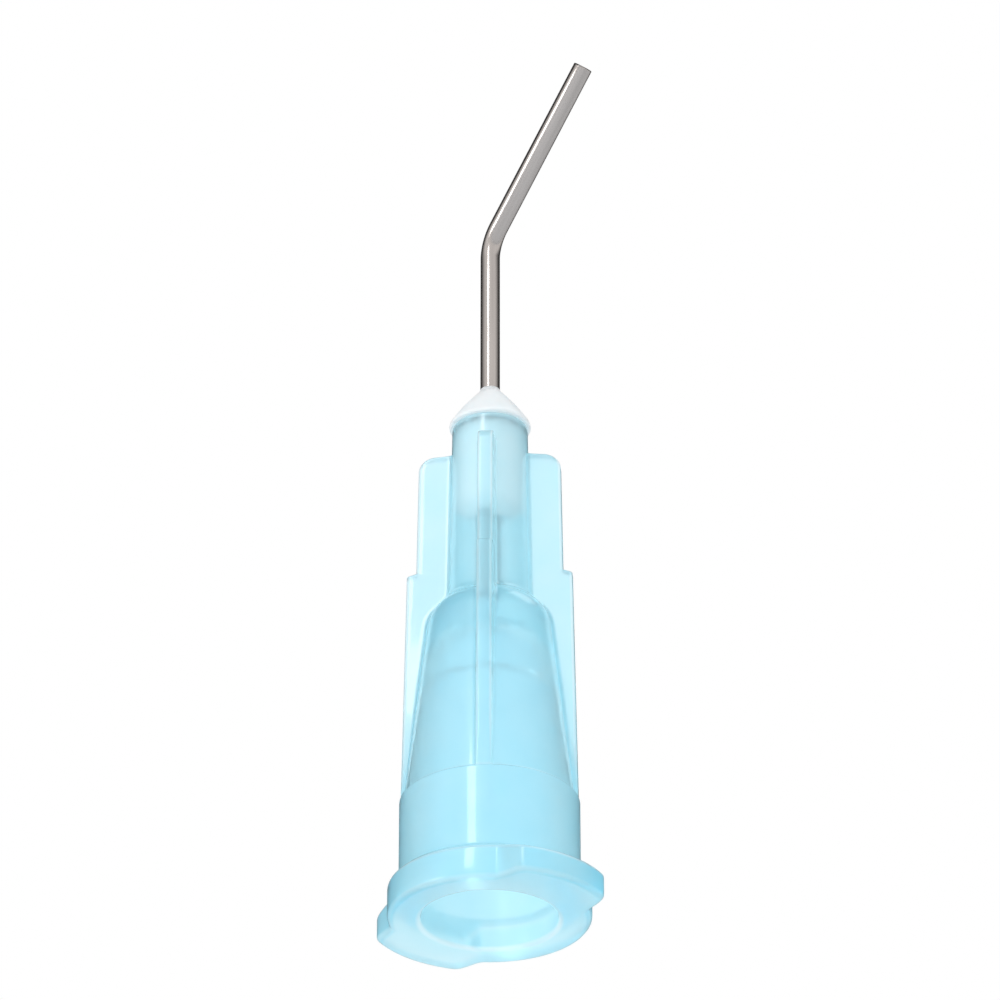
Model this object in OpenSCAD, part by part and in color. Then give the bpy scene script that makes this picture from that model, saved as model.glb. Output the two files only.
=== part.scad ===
// Dispensing needle tip: a moulded hub with a tapered socket and two locking lugs, a thin
// steel cannula bent near its middle, and the adhesive that bonds the two. The mouth of the
// hub lies on the XY plane, the hub's axis is +Z, and the cannula bends towards +X.
// Lengths are in millimetres and angles in degrees.

/* [Socket] */
// Diameter of the socket where it opens on the mouth face
mouth_d = 4.3; // [4:0.05:4.6]
// Diameter that the socket loses in each millimetre of depth
socket_taper = 0.06; // [0.04:0.005:0.08]
// Depth of the tapered part of the socket
socket_depth = 8; // [7:0.1:10]
// Width of the chamfer around the mouth
mouth_chamfer = 0.15; // [0.05:0.05:0.3]
// Width of the ledge where the taper ends and the chamber starts
socket_ledge = 0.4; // [0.2:0.05:0.6]
// Length of the chamber from the ledge to the top of its dome
chamber_len = 2.2; // [1.8:0.1:3.5]
// Height of the dome that closes the chamber
chamber_dome = 1.4; // [0.8:0.1:1.6]

/* [Hub walls] */
// Wall around the mouth, in the collar
collar_wall = 0.7; // [0.5:0.05:0.9]
// Height of the collar's front edge above the mouth face
collar_top = 4.1; // [3:0.1:5]
// Height of the small step from the collar down to the body
collar_step = 0.15; // [0.05:0.05:0.3]
// Wall around the chamber, in the body's narrow end
chamber_wall = 0.5; // [0.35:0.05:0.8]
// Thickness of the end wall, from the chamber's dome to the front of the shoulder
end_wall = 0.9; // [0.6:0.1:1.2]
// Length over which the body's shoulder is rounded
shoulder_round = 1; // [0.6:0.1:1.4]

/* [Nose] */
// Length of the nose tube in front of the shoulder
nose_len = 6.5; // [6:0.1:9]
// Wall of the nose tube at its open end
nose_wall = 0.475; // [0.35:0.025:0.7]
// Draft of the nose tube and of the fins, as an angle
draft = 0.8; // [0.2:0.1:1.5]
// Diameter of the adhesive well in the nose
well_d = 1.5; // [1.2:0.05:1.8]
// Depth of the straight part of the well
well_depth = 3; // [2:0.1:3.4]
// Length of the cone that leads from the well to the cannula's hole
lead_in = 0.7; // [0.4:0.1:1]

/* [Flange and lugs] */
// Width of the flange's rim around the collar
flange_rim = 0.35; // [0.25:0.05:0.45]
// Width across the two lugs
lug_span = 7.8; // [7.4:0.1:8.2]
// Angle that each lug covers at its full width
lug_angle = 52; // [30:1:80]
// Angle over which each side of a lug runs out into the rim
lug_blend = 12; // [6:1:20]
// Thickness of the lugs at their outer edge
lug_thickness = 0.9; // [0.7:0.05:1.2]
// Rise of the sloped back face from the lugs' edge to the collar
back_rise = 0.4; // [0.1:0.05:0.7]
// Rounding of the flange's edges
edge_round = 0.18; // [0.05:0.01:0.25]

/* [Fins] */
// Number of fins around the hub
fin_count = 4; // [2:1:6]
// Direction of the first fin, counted from the first lug
fin_turn = 45; // [0:5:90]
// Thickness of a fin
fin_thickness = 0.5; // [0.3:0.05:0.8]
// Height of a fin above the nose tube at its front end
fin_reach = 1.07; // [0.8:0.01:1.3]
// Distance from the nose's open end back to the front of the fins
fin_setback = 1.1; // [0.6:0.1:2]
// Radius of the fins' rounded front corner
fin_corner = 0.5; // [0.2:0.05:0.7]
// Distance from the shoulder forward to the step in the fins
fin_step_rise = 1.1; // [0.5:0.1:2]
// Height of the step in the fins
fin_step = 0.3; // [0.1:0.05:0.4]
// How far below the collar's surface the fins run out
fin_inset = 0.05; // [0.03:0.01:0.15]

/* [Cannula] */
// Outside diameter of the cannula
cannula_d = 0.64; // [0.5:0.01:0.9]
// Wall of the cannula
cannula_wall = 0.15; // [0.06:0.01:0.2]
// Distance from the chamber's dome to the seat that stops the cannula
seat_depth = 0.8; // [0.5:0.1:1.2]
// Width of the seat under the cannula's end
seat_lip = 0.1; // [0.05:0.01:0.15]
// Height of the bend's corner above the nose's open end
bend_height = 7.1; // [6:0.1:14]
// Angle of the bend
bend_angle = 45; // [15:5:90]
// Radius of the bend at the middle of the cannula
bend_radius = 1.5; // [1:0.1:3]
// Length from the bend's corner to the cannula's open end
leg_len = 6.6; // [5:0.1:14]

/* [Adhesive] */
// How far the cone's base stands out over the nose's edge
cone_overhang = 0.1; // [0:0.02:0.2]
// Height of the cone above the nose's open end
cone_h = 1.5; // [1:0.1:2.2]
// Height of the cone's straight edge where it meets the nose
cone_edge = 0.12; // [0.05:0.01:0.3]
// Width and height of the fillet where the adhesive climbs the cannula
meniscus = 0.22; // [0.1:0.02:0.3]
// Length of the cannula's hole that the adhesive leaves empty below the well
dry_len = 0.15; // [0.1:0.05:0.3]

/* [Clearances] */
// Gap around the cannula in its hole through the hub
cannula_gap = 0.02; // [0.01:0.005:0.05]
// Gap between the adhesive and the walls that it bonds
bond_gap = 0.01; // [0.005:0.005:0.02]

/* [Hidden] */
$fn = 96;
overcut = 1;
arc_steps = 6;
side_start = 0.05;

mouth_r = mouth_d / 2;
socket_end_r = mouth_r - socket_taper * socket_depth / 2;
chamber_r = socket_end_r - socket_ledge;
chamber_top = socket_depth + chamber_len;
shoulder_z = chamber_top + end_wall;
nose_end = shoulder_z + nose_len;

cannula_r = cannula_d / 2;
cannula_bore_r = cannula_r - cannula_wall;
hole_r = cannula_r + cannula_gap;
passage_r = cannula_r - seat_lip;
seat_z = chamber_top + seat_depth;

well_r = well_d / 2;
well_floor = nose_end - well_depth;
lead_end = well_floor - lead_in;

collar_r = mouth_r + collar_wall;
flange_r = collar_r + flange_rim;
lug_r = lug_span / 2;
body_low_r = collar_r - collar_step;
body_high_r = chamber_r + chamber_wall;
nose_r = well_r + nose_wall;
nose_root_r = nose_r + nose_len * tan(draft);

fin_front_z = nose_end - fin_setback;
fin_front_r = nose_r + fin_reach;
fin_step_z = shoulder_z + fin_step_rise;
fin_step_r = fin_front_r + (fin_front_z - fin_step_z) * tan(draft);
fin_low_r = collar_r - fin_inset;

bend_tangent = bend_radius * tan(bend_angle / 2);
bend_start = nose_end + bend_height - bend_tangent;

// Points of an arc about [x, y], or of an ellipse's arc where the second radius differs
function arc(x, y, rx, ry, from, to) =
    [for (i = [0:arc_steps]) let (a = from + (to - from) * i / arc_steps)
        [x + rx * cos(a), y + ry * sin(a)]];

// Height of the flange's sloped back face at a radius
function back_z(r) = lug_thickness + back_rise * (lug_r - r) / (lug_r - collar_r);

// Radius of the conical lead-in at a height
function lead_r(z) = hole_r + (well_r - hole_r) * (z - lead_end) / lead_in;

// Half section of the flange at the lugs, from the axis out and back
function flange_section() = concat(
    [[0, 0]],
    arc(lug_r - edge_round, edge_round, edge_round, edge_round, -90, 0),
    arc(lug_r - edge_round, back_z(lug_r) - edge_round, edge_round, edge_round, 0, 90),
    [[collar_r, back_z(collar_r)], [0, back_z(collar_r)]]);

// Half section of what is cut away between the lugs, outside the rim's rounded edges
function gap_section() = let (
        inner_r = flange_r - edge_round,
        outer_r = lug_r + overcut,
        top_z = back_z(flange_r)) concat(
    [[outer_r, -overcut], [inner_r, -overcut]],
    arc(inner_r, edge_round, edge_round, edge_round, -90, 0),
    arc(inner_r, top_z - edge_round, edge_round, edge_round, 0, 90),
    [[inner_r, top_z + overcut], [outer_r, top_z + overcut]]);

// Plan of one lug's side, which curves out from the rim: sign is 1 or -1 for +X or -X
function lug_side(sign) =
    [for (i = [0:arc_steps]) let (
            u = i / arc_steps,
            a = lug_angle / 2 + lug_blend * (1 - u),
            r = flange_r - side_start + (lug_r - flange_r + 2 * side_start) * u * u)
        r * [sign * cos(a), sin(a)]];

// Plan of the gap between the two lugs on the +Y side
function gap_plan() = let (right = lug_side(1), left = lug_side(-1)) concat(
    [[0, 0]],
    right,
    [[right[arc_steps].x, lug_span], [left[arc_steps].x, lug_span]],
    [for (i = [arc_steps:-1:0]) left[i]]);

module flange() {
    difference() {
        rotate_extrude() polygon(flange_section());
        for (turn = [0, 180])
            rotate(turn)
                intersection() {
                    rotate_extrude() polygon(gap_section());
                    translate([0, 0, -2 * overcut])
                        linear_extrude(back_z(0) + 4 * overcut) polygon(gap_plan());
                }
    }
}

// Collar, tapering body with its rounded shoulder, and nose tube
module barrel() {
    rotate_extrude() polygon(concat(
        [[0, lug_thickness / 2], [collar_r, lug_thickness / 2], [collar_r, collar_top],
            [body_low_r, collar_top]],
        arc(nose_root_r, shoulder_z - shoulder_round,
            body_high_r - nose_root_r, shoulder_round, 0, 90),
        [[nose_r, nose_end], [0, nose_end]]));
}

// One fin, as a plate from the axis out; the bore is cut out of it afterwards
module fin() {
    rotate([90, 0, 0])
        translate([0, 0, -fin_thickness / 2])
            linear_extrude(fin_thickness) polygon(concat(
                [[0, collar_top - collar_step], [fin_low_r, collar_top - collar_step],
                    [fin_step_r + fin_step, fin_step_z], [fin_step_r, fin_step_z]],
                arc(fin_front_r - fin_corner, fin_front_z - fin_corner,
                    fin_corner, fin_corner, 0, 90),
                [[0, fin_front_z]]));
}

// The whole way through the hub: socket, chamber, passage, cannula's hole and well
module bore() {
    rotate_extrude() polygon(concat(
        [[0, -overcut], [mouth_r + mouth_chamfer + overcut, -overcut],
            [mouth_r, mouth_chamfer], [socket_end_r, socket_depth]],
        arc(0, chamber_top - chamber_dome, chamber_r, chamber_dome, 0,
            acos(passage_r / chamber_r)),
        [[passage_r, seat_z], [hole_r, seat_z], [hole_r, lead_end], [well_r, well_floor],
            [well_r, nose_end + overcut], [0, nose_end + overcut]]));
}

module hub() {
    color([0.69, 0.93, 0.99])
        difference() {
            union() {
                flange();
                barrel();
                for (i = [0:fin_count - 1])
                    rotate(fin_turn + i * 360 / fin_count) fin();
            }
            bore();
        }
}

module cannula_section() {
    difference() {
        circle(d = cannula_d);
        circle(r = cannula_bore_r);
    }
}

// Straight stretch from the seat, the bend, and the free leg
module cannula() {
    color([0.75, 0.76, 0.78]) {
        translate([0, 0, seat_z])
            linear_extrude(bend_start - seat_z) cannula_section();
        translate([bend_radius, 0, bend_start]) {
            rotate([90, 0, 180])
                rotate_extrude(angle = bend_angle) translate([bend_radius, 0]) cannula_section();
            rotate([0, bend_angle, 0])
                translate([-bend_radius, 0, 0])
                    linear_extrude(leg_len - bend_tangent) cannula_section();
        }
    }
}

module adhesive() {
    inner_r = cannula_r + bond_gap;
    end_z = lead_end + dry_len;
    base_r = nose_r + cone_overhang;
    color([0.97, 0.98, 0.98])
        rotate_extrude() polygon(concat(
            [[inner_r, end_z], [lead_r(end_z) - bond_gap, end_z],
                [well_r - bond_gap, well_floor], [well_r - bond_gap, nose_end],
                [base_r, nose_end], [base_r, nose_end + cone_edge]],
            [[inner_r + meniscus, nose_end + cone_h - meniscus],
                [inner_r, nose_end + cone_h]]));
}

hub();
cannula();
adhesive();
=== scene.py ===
# %% [markdown]
# # A dispensing needle tip
# A small moulded hub with a tapered socket, a thin steel cannula bent near its middle, and a
# white bead of adhesive that bonds the two. The real hub comes out of its mould in one piece,
# so it is built here as one closed surface, with its bore, fins and lugs in the same mesh.
# Each new piece is a grid of points worked out with numpy: rows run along the piece, columns
# run round it, and both ends join up, so no surface is left open.

# %% Load the frame
import math

import bpy
import numpy as np
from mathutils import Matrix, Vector


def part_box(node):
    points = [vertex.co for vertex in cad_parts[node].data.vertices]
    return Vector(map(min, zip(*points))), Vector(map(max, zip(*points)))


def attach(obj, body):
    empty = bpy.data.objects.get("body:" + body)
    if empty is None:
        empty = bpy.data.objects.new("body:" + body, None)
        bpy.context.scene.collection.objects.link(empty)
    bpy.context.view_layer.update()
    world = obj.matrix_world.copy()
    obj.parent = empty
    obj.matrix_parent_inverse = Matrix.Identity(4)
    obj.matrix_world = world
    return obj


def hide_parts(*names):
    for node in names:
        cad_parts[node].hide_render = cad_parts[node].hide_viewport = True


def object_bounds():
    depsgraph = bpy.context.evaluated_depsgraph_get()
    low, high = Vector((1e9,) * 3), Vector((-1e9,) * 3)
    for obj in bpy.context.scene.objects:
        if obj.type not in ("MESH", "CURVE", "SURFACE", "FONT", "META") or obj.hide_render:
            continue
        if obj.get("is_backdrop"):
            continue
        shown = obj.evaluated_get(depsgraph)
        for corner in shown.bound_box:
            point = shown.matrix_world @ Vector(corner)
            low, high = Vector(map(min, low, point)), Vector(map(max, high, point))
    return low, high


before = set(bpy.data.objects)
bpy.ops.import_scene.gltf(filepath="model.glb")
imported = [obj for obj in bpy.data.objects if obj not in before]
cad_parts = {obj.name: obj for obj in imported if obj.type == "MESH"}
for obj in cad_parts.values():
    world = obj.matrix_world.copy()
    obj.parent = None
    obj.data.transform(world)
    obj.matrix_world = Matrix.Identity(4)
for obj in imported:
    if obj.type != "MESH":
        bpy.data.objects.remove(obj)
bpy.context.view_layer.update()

MM = 0.001
TAU = 2 * math.pi
hub_low, hub_high = (np.array(corner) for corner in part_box("hub"))
tube_low, tube_high = (np.array(corner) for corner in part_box("cannula"))
bead_low, bead_high = (np.array(corner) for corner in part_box("adhesive"))
print("hub", hub_low, hub_high)
print("cannula", tube_low, tube_high)
print("adhesive", bead_low, bead_high)

# %% [markdown]
# ## Helpers for grids
# A surface on a grid needs only its points. The faces follow from the grid: each square joins
# a point to its neighbour in the next column and the next row, and the last column and row
# join the first ones. The faces could be added one by one, but `foreach_set` copies whole
# arrays into the mesh at once, which is far quicker.

# %% Curves for profiles
# Which points of a stretch are kept, so that stretches join with no point twice.
ALL, NOT_FIRST, NOT_LAST, INNER = slice(None), slice(1, None), slice(None, -1), slice(1, -1)


def ease(x):
    """Rises from 0 to 1 with no corner at either end: 3x^2 - 2x^3, with x held to 0..1."""
    x = np.clip(x, 0.0, 1.0)
    return x * x * (3 - 2 * x)


def arc(x, y, rx, ry, start, end, steps, keep=ALL):
    """Points (x + rx cos a, y + ry sin a) for angles a from start to end, in degrees."""
    a = np.radians(np.linspace(start, end, steps + 1))
    return np.stack([x + rx * np.cos(a), y + ry * np.sin(a)], 1)[keep]


def line(start, end, steps, keep=ALL):
    """Points (1 - t) start + t end, with t evenly spaced."""
    t = np.linspace(0, 1, steps + 1)[:, None]
    return ((1 - t) * np.array(start, float) + t * np.array(end, float))[keep]


def with_heights(xy, z):
    """Points [row, column, (x, y, z)] from points [row, column, (x, y)] and each row's z."""
    return np.concatenate([xy, np.broadcast_to(z[:, None, None], xy.shape[:2] + (1,))], 2)


print("a quarter arc in two steps:", arc(0, 0, 1, 1, 0, 90, 2).round(3).tolist())


# %% Meshes from grids
def closed_grid(name, points, uv=None):
    """A mesh from points[row, column], joined to itself both ways. uv[row, column] gives the
    piece's own map, with one extra row and column so that the map doesn't jump back."""
    rows, columns = points.shape[:2]
    r, c = np.meshgrid(np.arange(rows), np.arange(columns), indexing="ij")
    r2, c2 = (r + 1) % rows, (c + 1) % columns
    squares = [r * columns + c, r * columns + c2, r2 * columns + c2, r2 * columns + c]
    corners = np.stack(squares, -1).reshape(-1, 4).astype(np.int32)
    mesh = bpy.data.meshes.new(name)
    mesh.vertices.add(rows * columns)
    mesh.vertices.foreach_set("co", points.reshape(-1).astype(np.float32))
    mesh.loops.add(corners.size)
    mesh.loops.foreach_set("vertex_index", corners.reshape(-1))
    mesh.polygons.add(len(corners))
    mesh.polygons.foreach_set("loop_start", np.arange(0, corners.size, 4, dtype=np.int32))
    mesh.polygons.foreach_set("use_smooth", np.ones(len(corners), bool))
    if uv is not None:
        layer = mesh.uv_layers.new(name="along")
        corner_uv = np.stack([uv[r, c], uv[r, c + 1], uv[r + 1, c + 1], uv[r + 1, c]], -2)
        layer.data.foreach_set("uv", corner_uv.reshape(-1).astype(np.float32))
    mesh.update(calc_edges=True)
    mesh.validate()
    piece = bpy.data.objects.new(name, mesh)
    bpy.context.collection.objects.link(piece)
    return piece


def report(piece):
    """Prints a piece's size, its triangles and its volume: the sum of a . (b x c) / 6 over
    its triangles is its volume, which is above 0 if faces look out."""
    mesh = piece.data
    mesh.calc_loop_triangles()
    co = np.empty(len(mesh.vertices) * 3)
    mesh.vertices.foreach_get("co", co)
    co = co.reshape(-1, 3)
    tri = np.empty(len(mesh.loop_triangles) * 3, np.int32)
    mesh.loop_triangles.foreach_get("vertices", tri)
    a, b, c = (co[tri.reshape(-1, 3)[:, i]] for i in range(3))
    volume = np.einsum("ij,ij->i", a, np.cross(b, c)).sum() / 6
    print(piece.name, "volume mm3", round(volume / MM ** 3, 2), "triangles", len(tri) // 3,
          "low", (co.min(0) / MM).round(2), "high", (co.max(0) / MM).round(2))


# %% [markdown]
# ## The round part of the hub
# On the real hub a collar, a tapering body, a round shoulder and a slim nose follow each
# other on one axis. Such a profile could be drawn as a curve and spun. A formula for the
# radius at any height is better here, because the fins need that radius too, and because
# rows of points can then be put wherever the surface bends. The sizes repeat the construction
# model's, in metres, and where the frame gives a size, as it does for the hub's height, it is
# read from there.

# %% Radius of the round part
nose_end = hub_high[2]
collar_r = 2.85 * MM
collar_top = 4.1 * MM
collar_step_end = collar_top + 0.03 * MM
collar_step_height = 0.12 * MM
body_low_r = 2.7 * MM
body_high_r = 2.01 * MM
shoulder_z = 11.1 * MM
shoulder_round = 1.0 * MM
shoulder_low = shoulder_z - shoulder_round
nose_root_r = 1.316 * MM
nose_r = 1.225 * MM
nose_flare = 0.22 * MM
nose_flare_height = 0.12 * MM


def body_radius(z):
    """Radius of the round part at height z: the collar, a small rounded step, a straight
    taper, a quarter of an ellipse for the shoulder, and the tapering nose tube, whose foot
    flares by nose_flare * exp(-rise / nose_flare_height)."""
    taper = np.interp(z, [collar_top, shoulder_low], [body_low_r, body_high_r])
    step = ease((collar_step_end - z) / collar_step_height)
    collar = body_low_r + (collar_r - body_low_r) * step
    lower = np.where(z < collar_step_end, collar, taper)
    climb = np.clip((z - shoulder_low) / shoulder_round, 0, 1)
    dome = nose_root_r + (body_high_r - nose_root_r) * np.sqrt(1 - climb ** 2)
    nose = np.interp(z, [shoulder_z, nose_end], [nose_root_r, nose_r])
    flare = nose_flare * np.exp(-np.clip(z - shoulder_z, 0, None) / nose_flare_height)
    upper = np.where(z < shoulder_z, np.maximum(dome, nose_root_r + nose_flare), nose + flare)
    return np.where(z < shoulder_low, lower, upper)


for height in (3, 4.15, 8, 10.5, 11.2, 17):
    print("height", height, "body radius", round(float(body_radius(height * MM)) / MM, 3))

# %% [markdown]
# ## The fins' edges
# Four thin fins stiffen the real hub and give the fingers a hold. Each is a flat plate with a
# straight outer edge, one small step and a rounded front corner. They could be plates joined
# on with a Boolean, but that cuts the round wall into ragged faces. As all four point
# straight out, the radius of their tips at each height says all about their shape.

# %% Radius of the fins' tips
fin_directions = (45.0, 135.0, 225.0, 315.0)
fin_low_r = 2.8 * MM
fin_step_z = 12.2 * MM
fin_step_r = 2.36 * MM
fin_step = 0.3 * MM
fin_step_height = 0.14 * MM
fin_front_z = 16.5 * MM
fin_front_r = 2.295 * MM
fin_front_lean = math.radians(5)
fin_corner = 0.5 * MM


def fin_radius(z):
    """Radius of the fins' tips at height z: a straight edge up to the step, a straight edge
    from the step to the rounded front corner, and a front face that leans back a little."""
    low = np.interp(z, [collar_top, fin_step_z], [fin_low_r, fin_step_r + fin_step])
    high = np.interp(z, [fin_step_z, fin_front_z], [fin_step_r, fin_front_r])
    below = ease((fin_step_z + fin_step_height / 2 - z) / fin_step_height)
    edge = high + (low - high) * below
    fall = np.clip((z - (fin_front_z - fin_corner)) / fin_corner, 0, 1)
    corner = edge - fin_corner * (1 - np.sqrt(np.clip(1 - fall ** 2, 0, 1)))
    front = fin_front_r - fin_corner - (z - fin_front_z) / math.tan(fin_front_lean)
    return np.where(z < fin_front_z, corner, front)


for height in (4.15, 8, 12.0, 12.4, 16.3, 16.52):
    print("height", height, "fin radius", round(float(fin_radius(height * MM)) / MM, 3))

# %% [markdown]
# ## The outline at one height
# Seen from above, the hub's outline at one height is a circle with four fins standing on it,
# each with a hollow fillet at its root and rounded edges at its tip, as the mould leaves them.
# Two radii are enough to draw it: the circle's and the fins' tips. Between them every fin
# column has a fixed share of the way up the fin's side, so the same columns follow the fins
# from the collar to the nose. Where the fins have run out, the columns ease back to their
# even places on the circle.

# %% Columns of one fin
fillet_steps = 5
side_steps = 5
edge_steps = 4
tip_steps = 3
half_fin_columns = fillet_steps + side_steps + edge_steps + tip_steps + 1

fin_half = 0.25 * MM      # half a fin's thickness at its tip
fin_draft = 0.03 * MM     # what each side gains down to the root, so that the mould opens
fin_edge = 0.1 * MM
fin_fillet = 0.16 * MM
round_share = 0.4         # a fillet or an edge takes at most this much of the fin's rise
least_round = 0.004 * MM
least_rise = 0.01 * MM


def fin_columns(body, tip):
    """One side of a fin and half of its tip, for arrays of body and tip radii: a hollow
    fillet at the root, the flat side, a rounded edge and the flat tip. Gives distance along
    the fin, distance across it, and the angle at which the fillet leaves the circle."""
    rise = tip - body
    fillet = np.clip(round_share * rise, least_round, fin_fillet)[:, None]
    edge = np.clip(round_share * rise, least_round, fin_edge)[:, None]
    body, tip = body[:, None], np.maximum(tip, body + least_rise)[:, None]
    root_half = fin_half + fin_draft
    centre_v = root_half + fillet
    centre_u = np.sqrt((body + fillet) ** 2 - centre_v ** 2)
    leave = np.arctan2(centre_v, centre_u)
    t = np.linspace(0, 1, fillet_steps + 1)[None, :]
    turn = leave + math.pi + (math.pi / 2 - leave) * t
    fillet_u, fillet_v = centre_u + fillet * np.cos(turn), centre_v + fillet * np.sin(turn)
    t = np.linspace(0, 1, side_steps + 1)[None, 1:]
    side_u = centre_u + (np.maximum(tip - edge, centre_u) - centre_u) * t
    side_v = root_half - fin_draft * t + 0 * side_u
    turn = np.linspace(math.pi / 2, 0, edge_steps + 1)[None, 1:]
    edge_u = side_u[:, -1:] + edge * np.cos(turn)
    edge_v = fin_half - edge + edge * np.sin(turn)
    t = np.linspace(0, 1, tip_steps + 1)[None, 1:]
    tip_u, tip_v = edge_u[:, -1:] + 0 * t, edge_v[:, -1:] * (1 - t)
    along = np.concatenate([fillet_u, side_u, edge_u, tip_u], 1)
    across = np.concatenate([fillet_v, side_v, edge_v, tip_v], 1)
    return along, across, leave


print("columns of half a fin:", half_fin_columns)


# %% Columns round the hub
gap_columns = 52
rest_leave = 0.18         # where a fin has run out, its columns keep this angle each way
standing_rise = 0.06 * MM


def outline(body, tip):
    """Points round the hub for arrays of body and tip radii, as [row, column, (x, y)]. A
    fin stands in full once it rises by standing_rise, and the columns between two fins are
    evenly spread on the circle."""
    along, across, leave = fin_columns(body, tip)
    standing = ease((tip - body) / standing_rise)[:, None]
    flat = rest_leave * np.linspace(1, 0, half_fin_columns)[None, :]
    along = standing * along + (1 - standing) * body[:, None] * np.cos(flat)
    across = standing * across + (1 - standing) * body[:, None] * np.sin(flat)
    leave = standing * leave + (1 - standing) * rest_leave
    fin_u = np.concatenate([along, along[:, -2::-1]], 1)
    fin_v = np.concatenate([-across, across[:, -2::-1]], 1)
    t = np.linspace(0, 1, gap_columns + 2)[None, 1:-1]
    gap = leave + (TAU / len(fin_directions) - 2 * leave) * t
    gap_u, gap_v = body[:, None] * np.cos(gap), body[:, None] * np.sin(gap)
    parts = []
    for direction in fin_directions:
        c, s = math.cos(math.radians(direction)), math.sin(math.radians(direction))
        for u, v in ((fin_u, fin_v), (gap_u, gap_v)):
            parts.append(np.stack([c * u - s * v, s * u + c * v], -1))
    return np.concatenate(parts, 1)


# An outline whose fins lie below the circle gives every column's place on a plain circle.
plain = outline(np.array([1.0 * MM]), np.array([0.5 * MM]))[0]
column_angle = np.arctan2(plain[:, 1], plain[:, 0])
round_column = np.stack([np.cos(column_angle), np.sin(column_angle)], 1)
print("columns round the hub:", len(column_angle))

# %% [markdown]
# ## The flange and its lugs
# The two lugs at the mouth catch the thread of whatever the real tip is screwed to. The
# flange's outline is a circle that swells into them. Its edges could be rounded with a Bevel
# modifier, but where a lug runs out into the rim the rounding would change its width. Here
# the rows move in along the outline's own normal, not towards the middle, which keeps it.

# %% Outline of the flange
lug_r = hub_high[0]
rim_r = hub_high[1]
lug_start_angle = 38.0    # degrees from a lug's middle where it starts to stand out
lug_full_angle = 23.5     # and where it has its full width
lug_thickness = 0.9 * MM
back_rise = 0.4 * MM


def back_z(r):
    """Height of the flange's sloped back face at radius r: straight from lug to collar."""
    return lug_thickness + back_rise * (lug_r - r) / (lug_r - collar_r)


def flange_outline():
    """Points of the flange's rim and its outward normals, one for each column."""
    degrees = np.degrees(column_angle)
    from_lug = np.abs((degrees + 90) % 180 - 90)
    swell = ease((lug_start_angle - from_lug) / (lug_start_angle - lug_full_angle))
    rim = (rim_r + (lug_r - rim_r) * swell)[:, None] * round_column
    tangent = np.roll(rim, -1, 0) - np.roll(rim, 1, 0)
    normal = np.stack([tangent[:, 1], -tangent[:, 0]], 1)
    return rim, normal / np.linalg.norm(normal, axis=1)[:, None]


print("flange's back, height in mm at its rim and at a lug's end:",
      round(back_z(rim_r) / MM, 3), round(back_z(lug_r) / MM, 3))


# %% Rows of the flange
mouth_r = 2.15 * MM
mouth_round_r = 0.19 * MM
mouth_round_z = 0.15 * MM
face_inner_r = mouth_r + 0.27 * MM
edge_round = 0.18 * MM
root_fillet = 0.14 * MM
mouth_steps, face_steps, rim_steps, back_steps, foot_steps = 5, 7, 6, 5, 5


def flange_rows():
    """Rows from the mouth's rounded edge across the flat face, round the rim and up the
    sloped back to the fillet at the collar's foot, as [row, column, (x, y, z)]. Also gives each
    row the strength of a painted highlight, which is sin(pi t) for t from 0 to 1 across a
    rounded edge."""
    rim, normal = flange_outline()
    rows, highlight_marks = [], []

    def add(xy, z, t=0.0):
        """Adds a row at height z, a share t of the way across a rounded edge."""
        rows.append(np.column_stack([xy, np.broadcast_to(z, len(xy))]))
        # The painted highlight's strength for this row, strongest in the middle of a rounded
        # edge.
        highlight_marks.append(math.sin(math.pi * t))

    mouth = arc(mouth_r + mouth_round_r, mouth_round_z, mouth_round_r, mouth_round_z,
                180, 270, mouth_steps)
    for i, (r, z) in enumerate(mouth):
        add(r * round_column, z, i / mouth_steps)
    face_edge = rim - edge_round * normal
    for t in np.linspace(0, 1, face_steps + 1)[:-1]:
        add((1 - t) * face_inner_r * round_column + t * face_edge, 0.0)
    front = arc(-edge_round, edge_round, edge_round, edge_round, -90, 0, rim_steps)
    for i, (inward, z) in enumerate(front):
        add(rim + inward * normal, z, i / rim_steps)
    top = back_z(np.linalg.norm(rim, axis=1))
    slope = math.degrees(math.atan(back_rise / (lug_r - collar_r)))
    back = arc(-edge_round, -edge_round, edge_round, edge_round, 0, 90 - slope, rim_steps)
    for i, (inward, dz) in enumerate(back):
        add(rim + inward * normal, top + dz, i / rim_steps)
    last, last_z = rows[-1][:, :2], rows[-1][:, 2]
    foot_r = collar_r + root_fillet
    foot_z = float(back_z(foot_r))
    for t in np.linspace(0, 1, back_steps + 1)[1:]:
        add((1 - t) * last + t * foot_r * round_column, (1 - t) * last_z + t * foot_z)
    for r, z in arc(foot_r, foot_z + root_fillet, root_fillet, root_fillet,
                    270 - slope, 180, foot_steps, NOT_FIRST):
        add(r * round_column, z)
    return np.array(rows), np.array(highlight_marks)


flange, flange_painted_highlight = flange_rows()
collar_foot = flange[-1, 0, 2]
print("flange rows", len(flange), "collar starts at mm", round(collar_foot / MM, 3))

# %% [markdown]
# ## The outside from the collar to the nose
# These are the walls that the two radii describe. Evenly spaced rows would have to be very
# close together everywhere to show the small steps. Instead the rows are packed closely only
# where the outline changes quickly: at the collar's step, over the shoulder, at the fins'
# step and over their rounded front corners. The walls between them are straight.

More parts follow.
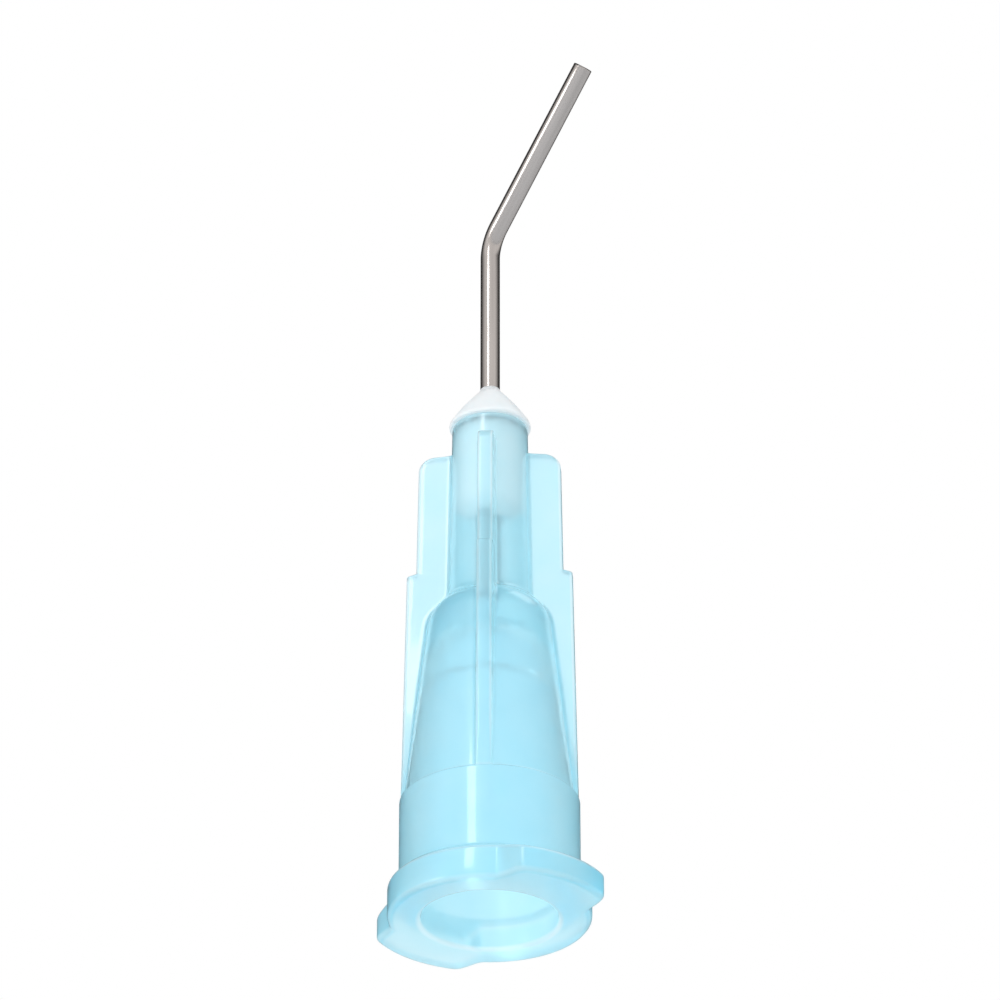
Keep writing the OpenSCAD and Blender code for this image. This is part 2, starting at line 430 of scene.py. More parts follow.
# %% Rows of the outside
def heights():
    """Heights of the rows above the flange, in metres. Round stretches follow the sine of an
    angle, so that their rows are evenly spread along the arc."""
    corner = fin_front_z - fin_corner
    shoulder_turn = np.linspace(0, 1.5, 15)[1:]
    corner_turn = np.linspace(0, math.pi / 2, 13)
    return np.concatenate([
        # the collar, its step and the body
        np.linspace(collar_foot, collar_top - 0.15 * MM, 7)[1:],
        np.linspace(collar_top - 0.1 * MM, collar_top + 0.06 * MM, 9),
        np.linspace(collar_top + 0.12 * MM, shoulder_low, 18),
        # the shoulder and the flare at the nose's foot
        shoulder_low + shoulder_round * np.sin(shoulder_turn),
        shoulder_z + np.array([0.0, 0.03, 0.07, 0.12, 0.19, 0.28, 0.4, 0.55, 0.75]) * MM,
        # the fins' step, their upper edge, their corner and their front
        np.linspace(fin_step_z - 0.12 * MM, fin_step_z + 0.12 * MM, 11),
        np.linspace(fin_step_z + 0.2 * MM, corner, 14)[:-1],
        corner + fin_corner * np.sin(corner_turn),
        fin_front_z + np.linspace(0.006, 0.07, 8) * MM,
        # the bare nose
        np.linspace(fin_front_z + 0.1 * MM, nose_end - 0.08 * MM, 7),
    ])


z_rows = heights()
assert (np.diff(z_rows) > 0).all()
body_row, tip_row = body_radius(z_rows), fin_radius(z_rows)
outer = with_heights(outline(body_row, tip_row), z_rows)
print("rows of the outside", len(outer))

# %% [markdown]
# ## The bore
# Inside, the real hub has a tapered socket, a chamber with a domed end, a narrow passage, a
# seat and a hole for the cannula, and a well that the adhesive fills. Cutting it out of a
# solid with a Boolean would work too. As the rows of the outside already end at the nose, it
# is simpler to go on with them down the inside and out at the mouth, where they meet the
# flange's first row: the whole hub is then one grid.

# %% Rows of the bore
socket_end_r = 1.91 * MM
socket_depth = 8.0 * MM
chamber_r = 1.51 * MM
chamber_top = 10.2 * MM
chamber_dome = 1.4 * MM
chamber_edge = 0.05 * MM
ledge_from_r = chamber_r + 0.08 * MM
ledge_to_r = socket_end_r - 0.04 * MM
taper_from = (socket_end_r - 0.01 * MM, socket_depth - 0.02 * MM)
dome_from = 81.6          # degrees, where the dome's arc meets the passage
passage_r = 0.22 * MM
seat_z = tube_low[2]
hole_r = 0.34 * MM
seat_edge_r, seat_edge_z = 0.02 * MM, 0.03 * MM
lead_end = 13.9 * MM
well_floor = 14.6 * MM
well_r = 0.75 * MM
well_lip = 0.04 * MM
nose_edge = 0.07 * MM


def bore_profile():
    """Radius and height down the bore, from the rounded nose edge to the mouth: end face,
    adhesive well, lead-in cone, cannula's hole, seat, passage, domed chamber, ledge, taper."""
    dome_z = chamber_top - chamber_dome
    ledge_z = socket_depth + chamber_edge
    return np.concatenate([
        arc(nose_r - nose_edge, nose_end - nose_edge, nose_edge, nose_edge, 0, 90, 5),
        line((nose_r - nose_edge, nose_end), (well_r + well_lip, nose_end), 5, NOT_FIRST),
        arc(well_r + well_lip, nose_end - well_lip, well_lip, well_lip, 90, 180, 4, NOT_FIRST),
        line((well_r, nose_end - well_lip), (well_r, well_floor), 12, NOT_FIRST),
        line((well_r, well_floor), (hole_r, lead_end), 6, NOT_FIRST),
        line((hole_r, lead_end), (hole_r, seat_z + seat_edge_z), 10, NOT_FIRST),
        line((hole_r - seat_edge_r, seat_z), (passage_r, seat_z), 2),
        line((passage_r, seat_z), (passage_r, chamber_top), 4, INNER),
        arc(0, dome_z, chamber_r, chamber_dome, dome_from, 0, 14),
        line((chamber_r, dome_z), (chamber_r, ledge_z), 3, NOT_FIRST),
        arc(chamber_r + chamber_edge, ledge_z, chamber_edge, chamber_edge, 180, 270, 3,
            NOT_FIRST),
        line((ledge_from_r, socket_depth), (ledge_to_r, socket_depth), 3),
        line(taper_from, (mouth_r, mouth_round_z), 18, NOT_LAST),
    ])


profile = bore_profile()
bore = with_heights(profile[:, None, :1] * round_column[None], profile[:, 1])
hub = closed_grid("needle_hub", np.concatenate([flange, outer, bore]))
report(hub)

# %% [markdown]
# ## Painted highlights on the rounded edges
# Light that travels inside clear plastic comes out at its edges, so a real moulding shows
# thin pale lines of light along fins, rim and mouth. Here those lines are painted highlights:
# the material makes the base colour paler there. A material could find sharp bends by itself,
# but the grid already knows which rows and columns run over an edge. So each point carries one
# number, the painted highlight's strength, 1 in the middle of a rounded edge and 0 on flat
# walls, for the material to read.

# %% Mark the hub's edges for painted highlights
# Sizes of the painted highlights: the pale lines on the fins' edges and on the collar's step.
fin_highlight_rise = 0.3 * MM      # a fin lower than this has a weaker mark
step_highlight = 0.5
step_highlight_height = 0.05 * MM


def edge_highlight_columns():
    """Strength of the painted highlight on each column: 1 on the rounded edges of the fins'
    tips, easing to 0 beside them.
    """
    half = np.zeros(half_fin_columns)
    first = fillet_steps + side_steps
    half[first:first + edge_steps + 1] = np.sin(np.linspace(0, math.pi, edge_steps + 1))
    one = np.concatenate([half, half[-2::-1], np.zeros(gap_columns)])
    return np.tile(one, len(fin_directions))


def mark_points(piece, name, values):
    """Keeps one number for each point of a grid under that name, for a material to read."""
    attribute = piece.data.attributes.new(name, "FLOAT", "POINT")
    attribute.data.foreach_set("value", values.reshape(-1).astype(np.float32))


# The painted highlight on the fins' edges and the collar's step, then on the whole hub.
fin_highlight_row = ease((tip_row - body_row) / fin_highlight_rise)
step_highlight_row = step_highlight * np.exp(-((z_rows - collar_top) / step_highlight_height) ** 2)
outer_painted_highlight = np.maximum(fin_highlight_row[:, None] * edge_highlight_columns()[None], step_highlight_row[:, None])
hub_painted_highlight = np.concatenate([np.repeat(flange_painted_highlight[:, None], len(round_column), 1),
                            outer_painted_highlight, np.zeros(bore.shape[:2])])
mark_points(hub, "edge", hub_painted_highlight)
print("marked points", int((hub_painted_highlight > 0.5).sum()), "of", hub_painted_highlight.size)

# %% [markdown]
# ## The cannula
# The cannula is a length of steel tube bent once. A curve with a round bevel would give its
# outside, but not its wall and its rounded cut end. So a ring is carried along the tube's
# middle line, which is a straight stretch, an arc and a second straight stretch: out along
# the outside, over the cut end, and back down the bore. On the outside of a real bend the
# tube goes slightly oval, so the ring is flattened a little there.

# %% Middle line of the cannula
tube_r = tube_high[1]
bore_r = tube_r - 0.15 * MM
bend_angle = math.radians(45)
bend_radius = 1.5 * MM
bend_corner_z = nose_end + 7.1 * MM
tangent_length = bend_radius * math.tan(bend_angle / 2)
leg_length = (tube_high[0] - tube_r * math.cos(bend_angle)) / math.sin(bend_angle)
lengths = np.array([bend_corner_z - tangent_length - seat_z, bend_radius * bend_angle,
                    leg_length - tangent_length])
stops = np.concatenate([[0], np.cumsum(lengths)])
print("free leg mm", round(leg_length / MM, 3), "path mm", round(stops[-1] / MM, 3))


def centre_line(s):
    """Point and heading angle at distances s along the cannula's middle line. In the arc the
    heading grows by s / bend_radius, x by bend_radius (1 - cos) and z by bend_radius sin."""
    turned = np.clip(s - stops[1], 0, lengths[1]) / bend_radius
    beyond = np.clip(s - stops[2], 0, None)
    x = bend_radius * (1 - np.cos(turned)) + beyond * math.sin(bend_angle)
    z = (seat_z + np.clip(s, 0, stops[1]) + bend_radius * np.sin(turned)
         + beyond * math.cos(bend_angle))
    return x, z, turned


# %% Sweep the cannula
oval_share = 0.035        # how much narrower the tube is in the middle of its bend
oval_widening = 0.4       # the part of that by which it grows the other way
tube_columns = 64
end_round = 0.025 * MM


def tube_rings(s, radius, around):
    """Rings of the given radii at distances s: the ring's plane is square to the line. In
    the bend it is narrower in the plane of the bend and wider across it, by the sine of the
    way through the bend."""
    x, z, heading = centre_line(s)
    oval = oval_share * np.sin(math.pi * np.clip((s - stops[1]) / lengths[1], 0, 1))
    inward = (radius * (1 - oval))[:, None] * np.cos(around)[None]
    sideways = (radius * (1 + oval_widening * oval))[:, None] * np.sin(around)[None]
    return np.stack([x[:, None] - np.cos(heading)[:, None] * inward, -sideways,
                     z[:, None] + np.sin(heading)[:, None] * inward], -1)


stations = np.concatenate([
    np.linspace(end_round, stops[1], 26),
    np.linspace(stops[1], stops[2], 27)[1:-1],
    np.linspace(stops[2], stops[3] - end_round, 16),
])
lip_angle = np.radians(np.linspace(0, 90, 5))[1:]
past = end_round * np.sin(lip_angle)
outer_lip_r = tube_r - end_round + end_round * np.cos(lip_angle)
inner_lip_r = bore_r + end_round - end_round * np.cos(lip_angle)
far_s = stops[3] - end_round
path_s = np.concatenate([stations, far_s + past, far_s + past[::-1], stations[::-1],
                         end_round - past, end_round - past[::-1]])
path_r = np.concatenate([np.full(len(stations), tube_r), outer_lip_r, inner_lip_r[::-1],
                         np.full(len(stations), bore_r), inner_lip_r, outer_lip_r[::-1]])
rings = tube_rings(path_s, path_r, np.linspace(0, TAU, tube_columns, endpoint=False))
print("rings and points in each:", rings.shape[:2])

# %% The cannula's map and mesh
# The map runs once round the tube in u and along it in millimetres in v. The closing step is
# for the narrow strip that joins the last ring to the first.
closing_step = 0.01 * MM
walked = np.concatenate([[0], np.cumsum(np.hypot(np.diff(path_s), np.diff(path_r)))])
walked = np.append(walked, walked[-1] + closing_step)
tube_uv = np.stack(np.broadcast_arrays(np.linspace(0, 1, tube_columns + 1)[None],
                                       (walked / MM)[:, None]), -1)
cannula = closed_grid("steel_cannula", rings, tube_uv)
report(cannula)

# %% [markdown]
# ## The adhesive
# The bead is dispensed by a machine: it fills the well, stands up in a cone and climbs the
# cannula in a small fillet. A fluid simulation could make such a shape, but a turned profile
# gives the same one with its contacts in known places. As a real bead is a little uneven,
# each point of the cone is then moved by a few low waves round the axis.

# %% Profile of the adhesive
wetting = 0.006 * MM      # how far the bead reaches into the walls that it wets
bead_rim_round = 0.07 * MM
bead_rim_inset = 0.02 * MM
bead_rim_rise = 2.2 * bead_rim_round
cone_bulge = 0.035 * MM
cone_steps = 21
# Where the cone turns up the tube, where it bends most, and where it ends.
meniscus_out, meniscus_down = 0.2 * MM, 0.3 * MM
meniscus_bend_out, meniscus_bend_down = 0.035 * MM, 0.13 * MM
meniscus_edge = 0.02 * MM


def bead_profile():
    """Radius and height round the bead's section, from the plug's foot up its outside, over
    the cone to the cannula and back down beside it. The cone's side is a straight line plus a
    bulge of sin(pi t), and the fillet is the curve (1-t)^2 a + 2t (1-t) b + t^2 c."""
    base_r = bead_high[0]
    foot_z, top_z = bead_low[2], bead_high[2]
    hug_r = tube_r - wetting
    plug_r = well_r + wetting
    lead_share = (foot_z - lead_end) / (well_floor - lead_end)
    foot_r = hole_r + wetting + (well_r - hole_r) * lead_share
    shelf_z = nose_end - wetting
    cone = line((base_r - bead_rim_inset, shelf_z + bead_rim_rise),
                (tube_r + meniscus_out, top_z - meniscus_down), cone_steps)
    cone[:, 0] += cone_bulge * np.sin(math.pi * np.linspace(0, 1, cone_steps + 1))
    t = np.linspace(0, 1, 8)[1:, None]
    bend = np.array([hug_r + meniscus_bend_out, top_z - meniscus_bend_down])
    tip = np.array([hug_r, top_z])
    meniscus = (1 - t) ** 2 * cone[-1] + 2 * t * (1 - t) * bend + t ** 2 * tip
    return np.concatenate([
        line((hug_r, foot_z), (foot_r, foot_z), 2),
        line((foot_r, foot_z), (plug_r, well_floor), 5, NOT_FIRST),
        line((plug_r, well_floor), (plug_r, nose_end), 10, NOT_FIRST),
        line((plug_r, shelf_z), (base_r - bead_rim_round, shelf_z), 6),
        arc(base_r - bead_rim_round, shelf_z + bead_rim_round, bead_rim_round, bead_rim_round,
            -90, 20, 6, INNER),
        cone, meniscus,
        line((hug_r, top_z - meniscus_edge), (hug_r, foot_z), 24, NOT_LAST),
    ])


section = bead_profile()
section_r, section_z = section[:, :1], section[:, 1]
print("points round the bead's section:", len(section))

# %% Turn the adhesive
bead_columns = 96
wave_inset = 0.012 * MM       # waves start this much inside, to stay within the bead's box
wave_start = 0.03 * MM        # above the nose and beside the tube, where the waves begin
wave_rise = 0.2 * MM

turn = np.linspace(0, TAU, bead_columns, endpoint=False)
outside = ease((section_z - nose_end - wave_start) / wave_rise)
outside = outside * (section_r[:, 0] > tube_r + wave_start)
# Each wave is an amplitude in mm, a count of crests and where it starts, in radians.
wave = (0.012 * np.sin(2 * turn + 0.6)[None] + 0.008 * np.sin(3 * turn + 2.1)[None]
        + 0.006 * np.sin(5 * turn + 4)[None] * np.cos(section_z / (0.35 * MM))[:, None]) * MM
bead_r = section_r + outside[:, None] * (wave - wave_inset)
bead = np.stack([bead_r * np.cos(turn)[None], bead_r * np.sin(turn)[None]], -1)
adhesive = closed_grid("adhesive_bead", with_heights(bead, section_z))
report(adhesive)

# %% [markdown]
# ## Standing in for the construction model
# The construction model's three solids stay behind for the physics. They could be dressed
# with materials as they are, but their edges are sharp and their faces too few for smooth
# shading. Each new piece therefore replaces one of them and rides on the same body.

# %% Replace the solids
for piece, node in ((hub, "hub"), (cannula, "cannula"), (adhesive, "adhesive")):
    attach(piece, "root")
    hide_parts(node)
    print(piece.name, "stands for", node)

# %% [markdown]
# ## Grain shared by the materials
# Nothing on this object is perfectly smooth. The moulded hub has the mould's fine texture and
# a softer ripple, the tube has drawing lines, and the adhesive has a skin that shrank as it
# cured. Each material could have noise nodes of its own. One node group makes all of them
# instead: two noises, a fine one and a soft one, feed a bump for the normal, and their sum
# moves the roughness between two values.

# %% Node helpers
def add_node(tree, kind, settings=(), **inputs):
    """A node of that kind, with its properties and its unlinked inputs set by name."""
    node = tree.nodes.new(kind)
    for key, value in dict(settings).items():
        setattr(node, key, value)
    for key, value in inputs.items():
        node.inputs[key.replace("_", " ")].default_value = value
    return node


def link_all(tree, *pairs):
    """Links the first socket of each pair to the second."""
    for source, target in pairs:
        tree.links.new(source, target)


# %% The grain group
soft_height = 0.02 * MM
fine_height = 0.01 * MM
noise_sum_low, noise_sum_high = 0.75, 1.25    # the range in which most of the sum lies


def build_grain():
    """Group: a vector in, a bumped normal and a roughness that changes over the surface out,
    and the soft noise as a mask for a colour."""
    group = bpy.data.node_groups.new("surface_grain", "ShaderNodeTree")
    face = group.interface
    face.new_socket("Vector", in_out="INPUT", socket_type="NodeSocketVector")
    for label, value in (("Fine", 6.0), ("Soft", 0.8), ("Fine depth", 0.1),
                         ("Soft depth", 0.2), ("Low", 0.2), ("High", 0.3)):
        socket = face.new_socket(label, in_out="INPUT", socket_type="NodeSocketFloat")
        socket.default_value = value
    for label, kind in (("Roughness", "Float"), ("Normal", "Vector"), ("Mask", "Float")):
        face.new_socket(label, in_out="OUTPUT", socket_type="NodeSocket" + kind)
    start = group.nodes.new("NodeGroupInput").outputs
    end = group.nodes.new("NodeGroupOutput").inputs
    fine = add_node(group, "ShaderNodeTexNoise", Detail=3.0, Roughness=0.55)
    soft = add_node(group, "ShaderNodeTexNoise", Detail=2.0, Roughness=0.5)
    soft_bump = add_node(group, "ShaderNodeBump", Distance=soft_height)
    fine_bump = add_node(group, "ShaderNodeBump", Distance=fine_height)
    both = add_node(group, "ShaderNodeMath", {"operation": "ADD"})
    spread = add_node(group, "ShaderNodeMapRange", From_Min=noise_sum_low,
                      From_Max=noise_sum_high)
    link_all(group,
             (start["Vector"], fine.inputs["Vector"]), (start["Fine"], fine.inputs["Scale"]),
             (start["Vector"], soft.inputs["Vector"]), (start["Soft"], soft.inputs["Scale"]),
             (soft.outputs["Fac"], soft_bump.inputs["Height"]),
             (start["Soft depth"], soft_bump.inputs["Strength"]),
             (fine.outputs["Fac"], fine_bump.inputs["Height"]),
             (start["Fine depth"], fine_bump.inputs["Strength"]),
             (soft_bump.outputs["Normal"], fine_bump.inputs["Normal"]),
             (fine.outputs["Fac"], both.inputs[0]), (soft.outputs["Fac"], both.inputs[1]),
             (both.outputs["Value"], spread.inputs["Value"]),
             (start["Low"], spread.inputs["To Min"]), (start["High"], spread.inputs["To Max"]),
             (spread.outputs["Result"], end["Roughness"]),
             (fine_bump.outputs["Normal"], end["Normal"]), (soft.outputs["Fac"], end["Mask"]))
    return group


grain_group = build_grain()
print("grain group:", [item.name for item in grain_group.interface.items_tree])


# %% Helpers for the materials
def new_material(name):
    """An empty material with a Principled shader and an output, ready to be linked."""
    material = bpy.data.materials.new(name)
    material.use_nodes = True
    tree = material.node_tree
    shader = next(n for n in tree.nodes if n.type == "BSDF_PRINCIPLED")
    output = next(n for n in tree.nodes if n.type == "OUTPUT_MATERIAL")
    return material, tree, shader, output


def place_grain(tree, shader, vector, **values):
    """Puts the shared grain on a shader, with this material's own scales and depths, and
    gives its mask."""
    grain = tree.nodes.new("ShaderNodeGroup")
    grain.node_tree = grain_group
    for key, value in values.items():
        grain.inputs[key.replace("_", " ")].default_value = value
    link_all(tree, (vector, grain.inputs["Vector"]),
             (grain.outputs["Roughness"], shader.inputs["Roughness"]),
             (grain.outputs["Normal"], shader.inputs["Normal"]))
    return grain.outputs["Mask"]


def in_millimetres(tree):
    """The object's own coordinates, scaled from metres to millimetres."""
    place = tree.nodes.new("ShaderNodeTexCoord")
    scale = add_node(tree, "ShaderNodeMapping", Scale=[1 / MM] * 3)
    tree.links.new(place.outputs["Object"], scale.inputs["Vector"])
    return scale.outputs["Vector"]


def tone(tree, mask, pale, deep):
    """A colour that a mask carries from a paler tone, below 0.3, to a deeper one, above 0.7."""
    ramp = tree.nodes.new("ShaderNodeValToRGB")
    for element, position, colour in zip(ramp.color_ramp.elements, (0.3, 0.7), (pale, deep)):
        element.position = position
        element.color = (*colour, 1)
    tree.links.new(mask, ramp.inputs["Fac"])
    return ramp.outputs["Color"]


def mix_shaders(tree, factor, first, second):
    """The first shader where the factor is 0, the second where it is 1."""
    mix = tree.nodes.new("ShaderNodeMixShader")
    link_all(tree, (factor, mix.inputs["Fac"]), (first, mix.inputs[1]), (second, mix.inputs[2]))
    return mix.outputs["Shader"]


def either(tree, first, second):
    """1 where one of two masks is 1: the larger of the two."""
    larger = add_node(tree, "ShaderNodeMath", {"operation": "MAXIMUM"})
    link_all(tree, (first, larger.inputs[0]), (second, larger.inputs[1]))
    return larger.outputs["Value"]


# %% [markdown]
# ## The hub's polypropylene
# Polypropylene is cloudy: light passes, but spreads on its way. Fog inside the hub would show
# that truly but slowly. A rough transmission gives nearly the same look, a thin smooth coat
# gives the polish that the mould leaves on its skin, and a weak absorption inside makes thick
# places a little deeper in colour. The marked edges get a painted highlight: a paler base
# colour. Shadow rays and diffuse rays get a plain tinted transparency, because the real plastic
# lets light through to the adhesive inside it and to the table behind it.

# %% Material: translucent polypropylene
# A Mix node's sockets when it mixes colours.
MIX_FACTOR, MIX_FIRST, MIX_SECOND, MIX_RESULT = 0, 6, 7, 2


def polypropylene():
    """Rough, coated transmission in two pale blues, with a painted highlight where the edges
    are marked.
    """
    material, tree, shader, output = new_material("pale_blue_polypropylene")
    shader.inputs["Transmission Weight"].default_value = 0.76
    shader.inputs["IOR"].default_value = 1.49
    shader.inputs["Coat Weight"].default_value = 0.7
    shader.inputs["Coat Roughness"].default_value = 0.06
    mask = place_grain(tree, shader, in_millimetres(tree), Fine=9.0, Soft=0.9,
                       Fine_depth=0.04, Soft_depth=0.3, Low=0.29, High=0.34)
    blue = tone(tree, mask, pale=(0.66, 0.915, 0.99), deep=(0.61, 0.9, 0.985))
    # Painted highlight: where the edges are marked, the base colour goes near white.
    edge = add_node(tree, "ShaderNodeAttribute", {"attribute_name": "edge"})
    paler = add_node(tree, "ShaderNodeMix", {"data_type": "RGBA"})
    paler.inputs[MIX_SECOND].default_value = (0.97, 0.995, 1, 1)
    clear = add_node(tree, "ShaderNodeBsdfTransparent", Color=(0.93, 0.98, 0.995, 1))
    rays = tree.nodes.new("ShaderNodeLightPath").outputs
    passing = either(tree, rays["Is Shadow Ray"], rays["Is Diffuse Ray"])
    surface = mix_shaders(tree, passing, shader.outputs["BSDF"], clear.outputs["BSDF"])
    depth = add_node(tree, "ShaderNodeVolumeAbsorption", Color=(0.1, 0.85, 0.98, 1),
                     Density=0.16 / MM)
    link_all(tree, (edge.outputs["Fac"], paler.inputs[MIX_FACTOR]),
             (blue, paler.inputs[MIX_FIRST]),
             (paler.outputs[MIX_RESULT], shader.inputs["Base Color"]),
             (surface, output.inputs["Surface"]),
             (depth.outputs["Volume"], output.inputs["Volume"]))
    return material


hub.data.materials.append(polypropylene())
print("hub:", hub.data.materials[0].name)

# %% [markdown]
# ## The cannula's steel
# Thin tube is drawn through a die, which leaves fine lines along it. Noise on the object's
# own coordinates would run straight through the bend. The grain reads the tube's own map
# instead, which runs round it and along it, so the lines follow the bend. The map is pressed
# together round the tube and drawn out along it, which turns specks into lines.

# %% Material: drawn stainless steel
line_stretch = (14.0, 0.2, 1.0)


def drawn_steel():
    """Plain metal in two warm greys, with its grain stretched into lines."""
    material, tree, shader, _ = new_material("drawn_stainless_steel")
    shader.inputs["Metallic"].default_value = 1.0
    own = add_node(tree, "ShaderNodeUVMap", {"uv_map": "along"})
    stretch = add_node(tree, "ShaderNodeMapping", Scale=line_stretch)
    tree.links.new(own.outputs["UV"], stretch.inputs["Vector"])
    mask = place_grain(tree, shader, stretch.outputs["Vector"], Fine=4.0, Soft=0.7,
                       Fine_depth=0.12, Soft_depth=0.15, Low=0.13, High=0.24)
    grey = tone(tree, mask, pale=(0.52, 0.485, 0.468), deep=(0.43, 0.4, 0.385))
    tree.links.new(grey, shader.inputs["Base Color"])
    return material


cannula.data.materials.append(drawn_steel())
print("cannula:", cannula.data.materials[0].name)

# %% [markdown]
# ## The adhesive's white
# The bead is opaque but not chalky: light enters a little way and comes out again near by,
# and its skin has a satin shine. A plain diffuse white would look like plaster, so a third of
# the light goes through subsurface scattering, with a reach of about 0.4 mm.

# %% Material: white adhesive
def white_adhesive():
    """Soft white with a short subsurface reach, given for red, green and blue in metres."""
    material, tree, shader, _ = new_material("white_adhesive")
    shader.inputs["Subsurface Weight"].default_value = 0.35
    shader.inputs["Subsurface Radius"].default_value = (0.35 * MM, 0.4 * MM, 0.42 * MM)
    shader.inputs["Subsurface Scale"].default_value = 1.0
    mask = place_grain(tree, shader, in_millimetres(tree), Fine=5.0, Soft=1.2,
                       Fine_depth=0.5, Soft_depth=0.8, Low=0.34, High=0.5)
    white = tone(tree, mask, pale=(0.93, 0.96, 0.97), deep=(0.88, 0.93, 0.95))
    tree.links.new(white, shader.inputs["Base Color"])
    return material


adhesive.data.materials.append(white_adhesive())
print("adhesive:", adhesive.data.materials[0].name)

# %% [markdown]
# ## The floor
# A plain pale floor carries the shadow. The part stands on its mouth, and the best view of it
# is from the mouth's side, a little below the floor. So the floor is a one-way sheet: it is
# pale from above, lets the camera look through it from below, and has an opening just under
# the hub's flat face, which light can reach. From above the hub hides that opening.

# %% Floor
floor_radius = 0.8
floor_gap = 0.002 * MM


def one_way_white():
    """A matt pale material that is clear where its back is seen."""
    material, tree, shader, output = new_material("pale_floor")
    shader.inputs["Base Color"].default_value = (0.86, 0.87, 0.88, 1)
    shader.inputs["Roughness"].default_value = 0.6
    clear = tree.nodes.new("ShaderNodeBsdfTransparent")
    behind = tree.nodes.new("ShaderNodeNewGeometry").outputs["Backfacing"]
    sheet = mix_shaders(tree, behind, shader.outputs["BSDF"], clear.outputs["BSDF"])
    tree.links.new(sheet, output.inputs["Surface"])
    return material


def studio_floor():
    """A wide flat sheet, open under the flange's flat face: one ring of quads from the edge
    of that face to a far circle."""
    rim, normal = flange_outline()
    columns = len(rim)
    points = np.concatenate([rim - edge_round * normal, floor_radius * round_column])
    points = np.column_stack([points, np.full(len(points), -floor_gap)])
    c = np.arange(columns)
    quads = np.stack([c, c + columns, (c + 1) % columns + columns, (c + 1) % columns], 1)
    mesh = bpy.data.meshes.new("floor")
    mesh.from_pydata(points.tolist(), [], quads.tolist())
    floor = bpy.data.objects.new("floor", mesh)
    bpy.context.collection.objects.link(floor)
    floor.data.materials.append(one_way_white())
    floor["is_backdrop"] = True
    return floor


print("floor faces:", len(studio_floor().data.polygons))

# %% [markdown]
# ## The studio
# Small clear plastic parts are best seen in a white light tent, where light comes evenly from
# all sides. Walls of cloth round the part could stand for it, but they would hide the camera,
# and a few world nodes do the same. Polished metal in a pure white tent looks flat, so the
# tent has one dark side that only reflections see. It draws the dark lines beside the bright
# one on the round steel.

# %% World
def plain_world(level, azimuth, elevation):
    """Even light of that level, and white to the camera and to refractions. Reflections see
    white too, except toward one direction, given in degrees, where the studio is left dark:
    brightness falls with the cosine of the angle to it."""
    world = bpy.data.worlds.new("studio")
    bpy.context.scene.world = world
    world.use_nodes = True
    tree = world.node_tree
    tree.nodes.clear()
    a, e = math.radians(azimuth), math.radians(elevation)
    place = tree.nodes.new("ShaderNodeTexCoord")
    toward = add_node(tree, "ShaderNodeVectorMath", {"operation": "DOT_PRODUCT"})
    toward.inputs[1].default_value = (math.cos(a) * math.cos(e), math.sin(a) * math.cos(e),
                                      math.sin(e))
    gap = add_node(tree, "ShaderNodeMapRange", From_Min=0.2, From_Max=0.6, To_Min=1.0,
                   To_Max=0.05)
    lit = add_node(tree, "ShaderNodeBackground", Color=(0.95, 0.98, 1.0, 1), Strength=level)
    panels = add_node(tree, "ShaderNodeBackground", Color=(1, 0.985, 0.965, 1))
    seen = add_node(tree, "ShaderNodeBackground", Color=(1, 1, 1, 1), Strength=1.0)
    rays = tree.nodes.new("ShaderNodeLightPath").outputs
    shine = mix_shaders(tree, rays["Is Glossy Ray"], lit.outputs["Background"],
                        panels.outputs["Background"])
    # Light that a rough clear surface lets through counts as glossy too, so the white comes
    # after the panels.
    direct = either(tree, rays["Is Camera Ray"], rays["Is Transmission Ray"])
    white = mix_shaders(tree, direct, shine, seen.outputs["Background"])
    output = tree.nodes.new("ShaderNodeOutputWorld")
    link_all(tree, (place.outputs["Generated"], toward.inputs[0]),
             (toward.outputs["Value"], gap.inputs["Value"]),
             (gap.outputs["Result"], panels.inputs["Strength"]),
             (white, output.inputs["Surface"]))
    print("world nodes:", len(tree.nodes))


plain_world(level=0.84, azimuth=139, elevation=60)

# %% [markdown]
# ## The lamps
# Soft boxes give a round tube its long bright streak, and their length and distance decide
# how wide and how soft it is. A point lamp would give a spot instead. One box stands where
# the straight part of the tube mirrors it, one where the bent leg does, one lights the top,
# and a wide one below stands for the light that a pale table throws back.

# %% Lamps
part_middle = (0, 0, 0.013)


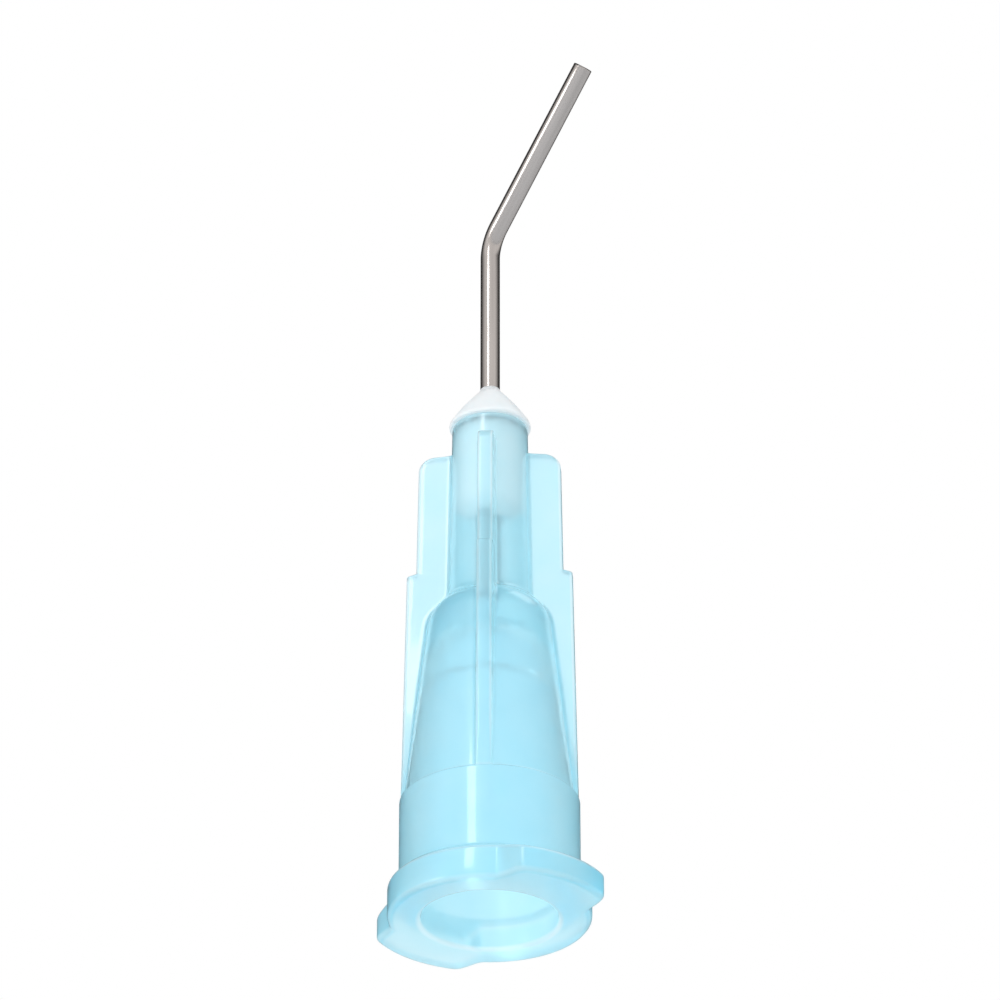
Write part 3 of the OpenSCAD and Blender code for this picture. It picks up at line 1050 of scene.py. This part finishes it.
def area_lamp(name, place, width, height, watts, target=part_middle):
    """A soft box of that width and height at a place, in metres, turned to look at the
    target. It lights the part and shows in its shine, but isn't seen through it."""
    lamp = bpy.data.lights.new(name, "AREA")
    lamp.shape = "RECTANGLE"
    lamp.energy = watts
    lamp.size = width
    lamp.size_y = height
    holder = bpy.data.objects.new(name, lamp)
    holder.location = place
    holder.rotation_euler = (Vector(target) - Vector(place)).to_track_quat("-Z", "Y").to_euler()
    holder.visible_transmission = False
    bpy.context.collection.objects.link(holder)
    print(name, "watts", watts)


area_lamp("key_lamp", (0.088, -0.18, 0.14), width=0.04, height=0.12, watts=0.085)
area_lamp("low_lamp", (-0.036, -0.2, 0.034), width=0.05, height=0.06, watts=0.045)
area_lamp("top_lamp", (0.06, 0.1, 0.2), width=0.1, height=0.1, watts=0.05)
area_lamp("table_glow", (0.1, -0.1, -0.16), width=0.2, height=0.2, watts=0.1,
          target=(0, 0, 0))

# %% [markdown]
# ## The camera
# A small part looks right from some way off through a long lens, which keeps its sides nearly
# parallel. The camera's place could be typed in, but it is worked out from the part's own box,
# so that the whole part stays in view.

# %% Camera
def set_camera(azimuth, elevation, lens, fill):
    """Looks at the middle of the part from an azimuth and elevation in degrees. fill is the
    share of the frame's height that a sphere round the part takes: the distance is the
    sphere's radius / sin(half the angle of view) / fill."""
    low, high = (Vector(corner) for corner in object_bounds())
    centre = (low + high) / 2
    a, e = math.radians(azimuth), math.radians(elevation)
    back = Vector((math.sin(a) * math.cos(e), -math.cos(a) * math.cos(e), math.sin(e)))
    data = bpy.data.cameras.new("camera")
    data.lens = lens
    data.sensor_width = 36
    data.clip_start = 1 * MM
    half_view = math.atan(data.sensor_width / 2 / lens)
    distance = (high - low).length / 2 / math.sin(half_view) / fill
    camera = bpy.data.objects.new("camera", data)
    camera.location = centre + back * distance
    camera.rotation_euler = (-back).to_track_quat("-Z", "Y").to_euler()
    bpy.context.collection.objects.link(camera)
    bpy.context.scene.camera = camera
    print("camera distance m", round(distance, 3))


set_camera(azimuth=49, elevation=-29, lens=220, fill=0.98)
bpy.context.scene.view_settings.view_transform = "Standard"
